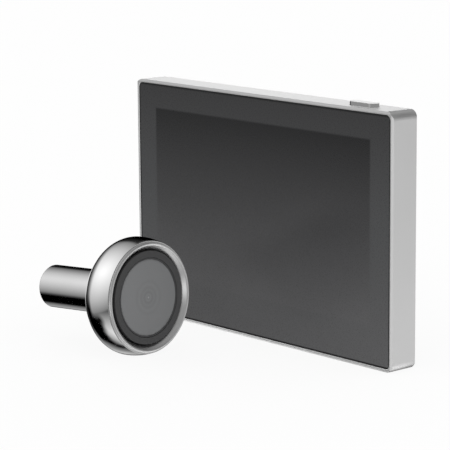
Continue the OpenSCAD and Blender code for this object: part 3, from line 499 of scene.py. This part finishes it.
for name, width in EDGE_BREAKS.items():
    weld = nodes[name].modifiers.new("weld", "WELD")
    weld.merge_threshold = WELD_MM * MM
    bevel = nodes[name].modifiers.new("edge_break", "BEVEL")
    bevel.width = width * MM
    bevel.segments = BREAK_STEPS
    bevel.limit_method = "ANGLE"
    bevel.angle_limit = math.radians(BREAK_ANGLE)
    bevel.harden_normals = True
print("broke the edges of", len(EDGE_BREAKS), "solids")

# %% [markdown]
# ## Helpers for new meshes
# Three pieces below get a mesh of their own. Each is built from rings of points with bands of faces
# between them, then becomes an object that rides on a body of the model. Where it takes the place of an
# imported solid, that solid is hidden.

# %% Mesh helpers
def circle(radius, steps):
    """Points round a circle, as pairs."""
    turns = [2 * math.pi * step / steps for step in range(steps)]
    return [(radius * math.cos(turn), radius * math.sin(turn)) for turn in turns]


def join(bm, lower, upper):
    """Adds a band of faces between two rings that have as many points."""
    for i in range(len(lower)):
        after = (i + 1) % len(lower)
        bm.faces.new((lower[i], lower[after], upper[after], upper[i]))


def place_piece(name, bm, material, body, matrix, crease=None):
    """Makes an object of a mesh; with a crease in degrees, softer edges than that are shaded smooth."""
    bmesh.ops.recalc_face_normals(bm, faces=bm.faces)
    if crease:
        for face in bm.faces:
            face.smooth = True
        for edge in bm.edges:
            edge.smooth = edge.calc_face_angle(0) < math.radians(crease)
    mesh = bpy.data.meshes.new(name)
    bm.to_mesh(mesh)
    bm.free()
    mesh.materials.append(material)
    piece = bpy.data.objects.new(name, mesh)
    scene.collection.objects.link(piece)
    piece.matrix_world = matrix
    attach(piece, body)
    return piece


def stand_in(node):
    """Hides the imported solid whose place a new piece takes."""
    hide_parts(node)


print("slots:", len({part["material_slot"] for part in record["subparts"]}))

# %% [markdown]
# ## The polished ring
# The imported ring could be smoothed, but a mirror shows every facet, so the ring is turned again as on a
# lathe: one profile, spun about the head's axis in fine steps. The profile follows the solid: a round
# back, a crowned side, a small step, a rounded rim, and a slope down to the bell ring. The rim runs into
# the slope without a corner, as polishing leaves it, and both of them get the satin grade.

# %% Lathe
LATHE_STEPS = 256
LATHE_CREASE = 28


def arc(middle, radius, start, end, count):
    """Points on a circle in the plane of radius and height, by angles in degrees."""
    turns = [math.radians(start + (end - start) * i / count) for i in range(count + 1)]
    return [(middle[0] + radius * math.cos(t), middle[1] + radius * math.sin(t)) for t in turns]


def lathe(name, profile, material, node):
    """Spins a closed profile of (radius, height) in millimetres about the head's axis."""
    bm = bmesh.new()
    rings = [[bm.verts.new(Vector((a, b, height)) * MM) for a, b in circle(radius, LATHE_STEPS)]
             for radius, height in profile]
    for lower, upper in zip(rings, rings[1:] + rings[:1]):
        join(bm, lower, upper)
    piece = place_piece(name, bm, material, "camera_head", HEAD, LATHE_CREASE)
    stand_in(node)
    return piece


print("a turned piece has", LATHE_STEPS, "steps round")

# %% [markdown]
# ## The ring's profile
# Radii and heights are in millimetres, with heights from the back of the ring. The crown is a long arc
# from the widest place to the step. The slope touches the rim's arc, so the angle where the arc stops is
# that of the tangent through the slope's foot.

# %% Ring
RING_R, RING_ROUND, WIDEST = 17.6, 5.95, 5.35
CROWN_R, RIM_R, RIM_LOW, RIM_STEP = 20.0, 0.67, 11.28, 0.2
SLOPE_W, SLOPE_DROP, CAVE_STEP, REAR_STEP = 1.0, 1.0, 0.6, 0.3
CHASSIS_BACK, SHOULDER = 4.0, 8.45
HAIR = 0.001
core_r = RING_R - RING_ROUND
crown_end = math.degrees(math.asin((RIM_LOW - WIDEST) / CROWN_R))
rim_mid = RING_R - CROWN_R + CROWN_R * math.cos(math.radians(crown_end)) - RIM_STEP - RIM_R
bore_r = rim_mid - RIM_R - SLOPE_W
cave_r = bore_r + CAVE_STEP
rear_r = cave_r + REAR_STEP
back_start = -math.degrees(math.acos((rear_r - core_r) / RING_ROUND))
foot = Vector((bore_r - rim_mid, -SLOPE_DROP))
slope_start = 360 + math.degrees(math.atan2(foot.y, foot.x) - math.acos(RIM_R / foot.length))
ring_profile = (
    arc((core_r, WIDEST), RING_ROUND, back_start, 0, 40)
    + arc((RING_R - CROWN_R, WIDEST), CROWN_R, 0, crown_end, 24)[1:]
    + arc((rim_mid, RIM_LOW), RIM_R, 0, slope_start, 20)
    + [(bore_r, RIM_LOW - SLOPE_DROP), (bore_r, SHOULDER), (cave_r, SHOULDER), (cave_r, CHASSIS_BACK),
       (rear_r, CHASSIS_BACK)]
)
polished_ring = lathe("turned_ring", ring_profile, chrome, "polished_ring")
polished_ring.data.materials.append(satin_chrome)
for face in polished_ring.data.polygons:
    radius, height = face.center.xy.length / MM, face.center.z / MM
    on_slope = radius < rim_mid - RIM_R and height > SHOULDER
    face.material_index = int(on_slope or height > RIM_LOW - HAIR)
print("ring profile points:", len(ring_profile))

# %% [markdown]
# ## The barrel
# The barrel is a plain tube outside. Inside, a narrow bore for the cable widens to the bore where the bolt
# from indoors goes in. It is turned like the ring, and its open end has a soft round, as a polished tube
# has.

# %% Barrel
BARREL_R, BARREL_IN, WIRE_R, NECK_R = 6.5, 5.2, 4.7, 6.3
BARREL_END, THREAD_TOP, DISC_T, NECK_L = -30.0, -12.0, 2.8, 1.2
MOUTH_CUT, END_CUT, END_RUN = 0.3, 0.5, 0.6
END_MID_IN, END_MID_UP = 0.15, 0.35

barrel_profile = [
    (NECK_R, DISC_T), (WIRE_R, DISC_T), (WIRE_R, THREAD_TOP), (BARREL_IN, THREAD_TOP),
    (BARREL_IN, BARREL_END + MOUTH_CUT), (BARREL_IN + MOUTH_CUT, BARREL_END),
    (BARREL_R - END_CUT, BARREL_END), (BARREL_R - END_MID_IN, BARREL_END + END_MID_UP),
    (BARREL_R, BARREL_END + END_RUN), (BARREL_R, -NECK_L), (NECK_R, -NECK_L),
]
barrel = lathe("turned_barrel", barrel_profile, tube_chrome, "barrel")
print("barrel faces:", len(barrel.data.polygons))

# %% [markdown]
# ## The thread
# The bolt's thread could be a bump in the material, but its ridges stand against the light at the mouth of
# the barrel. So it is a real ridge that climbs the bore as a helix: one small section, carried round and
# along, a pitch for each turn.

# %% Thread
THREAD_PITCH, THREAD_DEPTH, THREAD_STEPS = 1.0, 0.32, 64
THREAD_FOOT, THREAD_CREST, THREAD_SINK = 0.42, 0.06, 0.02
THREAD_LOW, THREAD_HIGH = BARREL_END + 0.8, THREAD_TOP - 0.6

wall_r = BARREL_IN + THREAD_SINK
crest_r = wall_r - THREAD_DEPTH
section = [(wall_r, -THREAD_FOOT), (crest_r, -THREAD_CREST), (crest_r, THREAD_CREST), (wall_r, THREAD_FOOT)]
count = int((THREAD_HIGH - THREAD_LOW) / THREAD_PITCH * THREAD_STEPS)
bm = bmesh.new()
rows = []
for step in range(count + 1):
    turn = 2 * math.pi * step / THREAD_STEPS
    climb = THREAD_LOW + (THREAD_HIGH - THREAD_LOW) * step / count
    rows.append([bm.verts.new(Vector((r * math.cos(turn), r * math.sin(turn), climb + h)) * MM)
                 for r, h in section])
for row, after in zip(rows, rows[1:]):
    join(bm, row, after)
bm.faces.new(rows[0])
bm.faces.new(rows[-1])
thread = place_piece("barrel_thread", bm, chrome, "camera_head", HEAD)
print("thread faces:", len(thread.data.polygons))

# %% [markdown]
# ## Screws with a cross recess
# Four small screws of blackened steel hold the rear cover. A driver needs something to grip, so a cross is
# pressed into each head, narrower at its floor than at its mouth. A dark cross could be painted on, but a
# real recess keeps its shape from every side. The face of the head is a disc with a cross-shaped hole, cut
# into triangles, and walls lead from the mouth of the cross down to its floor.

# %% Cover screws
SCREW_STEPS = 48
SHAFT_R, HEAD_R, HEAD_T, HEAD_ROUND = 0.75, 1.4, 0.8, 0.12
CROSS_REACH, CROSS_HALF, CROSS_DEEP, CROSS_TAPER = 0.85, 0.2, 0.5, 0.6
SCREW_X, SCREW_Z = (-52.4, 52.4), (4.3, 70.9)
depths = [vertex.co.y / MM for vertex in nodes["cover_screws"].data.vertices]
TIP, FACE = min(depths), max(depths)
SCREW_PROFILE = [(SHAFT_R, TIP), (SHAFT_R, FACE - HEAD_T), (HEAD_R, FACE - HEAD_T),
                 (HEAD_R, FACE - HEAD_ROUND), (HEAD_R - HEAD_ROUND, FACE)]
arm = [(CROSS_REACH, -CROSS_HALF), (CROSS_REACH, CROSS_HALF), (CROSS_HALF, CROSS_HALF)]
CROSS = arm + [(-b, a) for a, b in arm] + [(-a, -b) for a, b in arm] + [(b, -a) for a, b in arm]


def add_screw(bm, x, z):
    """Adds one screw whose axis runs along Y, from its tip to the face of its head."""
    def ring(points, y):
        return [bm.verts.new(Vector((x + a, y, z + b)) * MM) for a, b in points]

    sides = [ring(circle(radius, SCREW_STEPS), y) for radius, y in SCREW_PROFILE]
    mouth = ring(CROSS, FACE)
    bottom = ring([(a * CROSS_TAPER, b * CROSS_TAPER) for a, b in CROSS], FACE - CROSS_DEEP)
    for lower, upper in list(zip(sides, sides[1:])) + [(mouth, bottom)]:
        join(bm, lower, upper)
    bm.faces.new(sides[0])
    bm.faces.new(bottom)
    face = sides[-1] + mouth
    for corners in tessellate_polygon([[vert.co.xzy for vert in loop] for loop in (sides[-1], mouth)]):
        bm.faces.new([face[corner] for corner in corners])


bm = bmesh.new()
for x in SCREW_X:
    for z in SCREW_Z:
        add_screw(bm, x, z)
screws = place_piece("recessed_screws", bm, finish["blackened_steel"], "screen_unit", Matrix())
stand_in("cover_screws")
print("screws from", round(TIP, 2), "to", round(FACE, 2), "mm, faces:", len(screws.data.polygons))

# %% [markdown]
# ## The studio
# Chrome is photographed in soft light with a few black cards, whose reflections draw its form. Lamps and
# cards could stand in the room, but what counts on a mirror is only the direction they are seen in, and a
# sky sets brightness by direction. It is made of round patches, each fading with the angle from its
# middle. Where patches overlap the brightest one counts: a large soft box high at the front left, a dim
# wall all round, the white table below, and strips that each light one edge. Every card then darkens the
# sky behind it.

# %% Lights and cards
# name, azimuth, elevation, brightness, and the share of it at angles from the middle
LIGHTS = [
    ("soft box", 229, 38, 1.37,
     ((0, 1), (12, 0.86), (30, 0.63), (45, 0.43), (60, 0.21), (66, 0.02), (78, 0))),
    ("room", 20, 0, 0.55, ((0, 1), (100, 1), (112, 0))),
    ("floor", 0, -90, 1.33, ((0, 1), (17, 1), (77, 0))),
    ("floor behind", 167, -60, 0.93, ((0, 1), (29, 1), (38, 0))),
    ("low strip", 64, -42, 2.2, ((0, 1), (10, 1), (16, 0))),
    ("side box", 42, -22, 1.45, ((0, 1), (10, 1), (35, 0))),
    ("front strip", 311, -10, 2.1, ((0, 1), (10, 1), (20, 0))),
]
BLACK_CARDS = [
    ("left card", 200, -28, 1.0, ((0, 0), (12, 0), (27, 1))),
    ("lower left card", 204, -46, 1.0, ((0, 0), (10, 0), (16, 1))),
    ("front left card", 221, -38, 1.0, ((0, 0), (9, 0), (17, 1))),
    ("front card", 236, -33, 1.0, ((0, 0), (2, 0), (11, 1))),
    ("table card", 190, -57, 1.0, ((0, 0), (3, 0), (30, 1))),
    ("back card", 171, -10, 1.0, ((0, 0.29), (20, 0.29), (52, 1))),
    ("lower back card", 175, -63, 1.0, ((0, 0.07), (3, 0.07), (9, 1))),
    ("rear table card", 145, -62, 1.0, ((0, 0.08), (1, 0.08), (21, 1))),
    ("low card", 114, -42, 1.0, ((0, 0.1), (12, 0.1), (26, 1))),
    ("high card", 58, 34, 1.0, ((0, 0.3), (14, 0.4), (28, 1))),
]


def direction(azimuth, elevation):
    """A unit vector from degrees: azimuth from +X towards +Y, elevation above the horizon."""
    turn, rise = math.radians(azimuth), math.radians(elevation)
    return Vector((math.cos(rise) * math.cos(turn), math.cos(rise) * math.sin(turn), math.sin(rise)))


print("patches of light:", len(LIGHTS), "cards:", len(BLACK_CARDS))

# %% [markdown]
# ## The sky's node tree
# A patch measures the angle between its middle and the direction that a ray looks in, and a ramp turns
# that angle into brightness. Dull surfaces get one even level, so the cards shape the mirrors only.
# Camera rays see plain white.

# %% Sky of light
DULL_LEVEL = 1.0
WHITE = linear("FFFFFF")

world = bpy.data.worlds.new("studio")
scene.world = world
world.use_nodes = True
world.cycles.sampling_method = "NONE"
sky = world.node_tree
sky.nodes.clear()
look = add_node(sky, "ShaderNodeTexCoord").outputs["Generated"]


def patch(name, azimuth, elevation, brightness, shares):
    """The brightness of one round patch of the sky, by the angle from its middle."""
    near = add_node(sky, "ShaderNodeVectorMath", {0: look, 1: direction(azimuth, elevation)},
                    operation="DOT_PRODUCT", label=name)
    angle = add_node(sky, "ShaderNodeMath", {0: near.outputs["Value"]}, operation="ARCCOSINE")
    turn = add_node(sky, "ShaderNodeMath", {0: angle.outputs[0], 1: 1 / math.pi}, operation="MULTIPLY")
    share = add_node(sky, "ShaderNodeValToRGB", {"Fac": turn.outputs[0]},
                     stops=[(degrees / 180, (part, part, part, 1)) for degrees, part in shares])
    return add_node(sky, "ShaderNodeMath", {0: share.outputs["Color"], 1: brightness},
                    operation="MULTIPLY").outputs[0]


level = patch(*LIGHTS[0])
for operation, patches in (("MAXIMUM", LIGHTS[1:]), ("MULTIPLY", BLACK_CARDS)):
    for values in patches:
        level = add_node(sky, "ShaderNodeMath", {0: level, 1: patch(*values)},
                         operation=operation).outputs[0]
rays = add_node(sky, "ShaderNodeLightPath").outputs
soft = add_node(sky, "ShaderNodeMix", {"Factor": rays["Is Diffuse Ray"], "A": level, "B": DULL_LEVEL})
seen = add_node(sky, "ShaderNodeMix",
                {"Factor": rays["Is Camera Ray"], "A": soft.outputs["Result"], "B": 1.0})
light = add_node(sky, "ShaderNodeBackground", {"Color": WHITE, "Strength": seen.outputs["Result"]})
add_node(sky, "ShaderNodeOutputWorld", {"Surface": light.outputs["Background"]})
print("sky nodes:", len(sky.nodes))

# %% [markdown]
# ## Two lamps for the frame
# The top of the frame gets a strip low behind the unit, and its bottom edge gets the bounce of the white
# table. In a studio small flags would keep both off the chrome. Here light linking does, which names the
# objects that a lamp lights. The level is the lamp's own brightness, where 1 is that of white paper: a
# round lamp of that brightness sends out pi times its area.

# %% Linked lamps
LAMP_AWAY = 1.2


def linked_lamp(name, azimuth, elevation, size, level, lit_names):
    """A round lamp that faces the unit from a direction and lights only the named solids."""
    data = bpy.data.lights.new(name, "AREA")
    data.shape = "DISK"
    data.size = size
    data.energy = level * math.pi * math.pi * size ** 2 / 4
    lamp = bpy.data.objects.new(name, data)
    scene.collection.objects.link(lamp)
    aim = direction(azimuth, elevation)
    lamp.location = Vector((0, 0, UNIT_HEIGHT / 2 * MM)) + aim * LAMP_AWAY
    lamp.rotation_euler = aim.to_track_quat("Z", "Y").to_euler()
    lamp.visible_camera = False
    lit = bpy.data.collections.new(name + "_lights")
    for lit_name in lit_names:
        lit.objects.link(nodes[lit_name])
    lamp.light_linking.receiver_collection = lit
    return lamp


lamps = [
    linked_lamp("back_strip", 137, 7, 0.55, 3.4, ["frame", "power_button"]),
    linked_lamp("table_bounce", 190, -32, 1.1, 1.8, ["frame"]),
]
print("lamp power in watts:", [round(lamp.data.energy, 2) for lamp in lamps])

# %% [markdown]
# ## The floor
# The photograph shows no floor, only white. A floor of white paper is still there to carry a faint contact
# shadow. To the camera it gives its own even white with a part of the lit surface mixed in, so it stays
# white away from the object. Mirrors look through it to the sky, whose lower half stands for it, and it
# casts no shadow, so the bounce lamp below it reaches the frame.

# %% Floor
FLOOR_HALF = 3.0
FLOOR_DROP_MM = 0.02
FIBRE_MM = 4
EVEN_SHARE = 0.9

floor_mesh = bpy.data.meshes.new("floor")
corners = [(x * FLOOR_HALF, y * FLOOR_HALF, -FLOOR_DROP_MM * MM)
           for x, y in ((-1, -1), (1, -1), (1, 1), (-1, 1))]
floor_mesh.from_pydata(corners, [], [(0, 1, 2, 3)])
floor = bpy.data.objects.new("floor", floor_mesh)
scene.collection.objects.link(floor)
paper = bpy.data.materials.new("white_paper")
paper.use_nodes = True
sheet = paper.node_tree
sheet.nodes.clear()
place = add_node(sheet, "ShaderNodeTexCoord").outputs["Object"]
fibres = add_node(sheet, "ShaderNodeTexNoise", {"Vector": place, "Scale": per_mm(FIBRE_MM), "Detail": 3.0})
tone = add_node(sheet, "ShaderNodeValToRGB", {"Fac": fibres.outputs["Fac"]},
                stops=[(0, linear("F2F2F2")), (1, linear("F6F6F6"))])
lit = add_node(sheet, "ShaderNodeBsdfDiffuse", {"Color": tone.outputs["Color"]})
even = add_node(sheet, "ShaderNodeEmission", {"Color": WHITE, "Strength": 1.0})
camera_ray = add_node(sheet, "ShaderNodeLightPath").outputs["Is Camera Ray"]
share = add_node(sheet, "ShaderNodeMath", {0: camera_ray, 1: EVEN_SHARE}, operation="MULTIPLY")
blend = add_node(sheet, "ShaderNodeMixShader",
                 {0: share.outputs[0], 1: lit.outputs["BSDF"], 2: even.outputs["Emission"]})
add_node(sheet, "ShaderNodeOutputMaterial", {"Surface": blend.outputs["Shader"]})
floor_mesh.materials.append(paper)
floor.visible_glossy = False
floor.visible_shadow = False
print("floor", 2 * FLOOR_HALF, "m square")

# %% [markdown]
# ## Two units pictured apart
# The chrome in the photograph shows a pale room where the dark screen would be, so the two units were most
# likely pictured one at a time. Hiding the screen unit from mirror rays does the same here, and each unit
# reflects the room alone.

# %% Keep the screen unit out of the mirrors
hidden = [name for body in ("screen_unit", "power_button", "door_bracket")
          for name in record["behaviour"]["bodies"][body]]
for name in hidden:
    nodes[name].visible_glossy = False
print("solids kept out of reflections:", len(hidden))
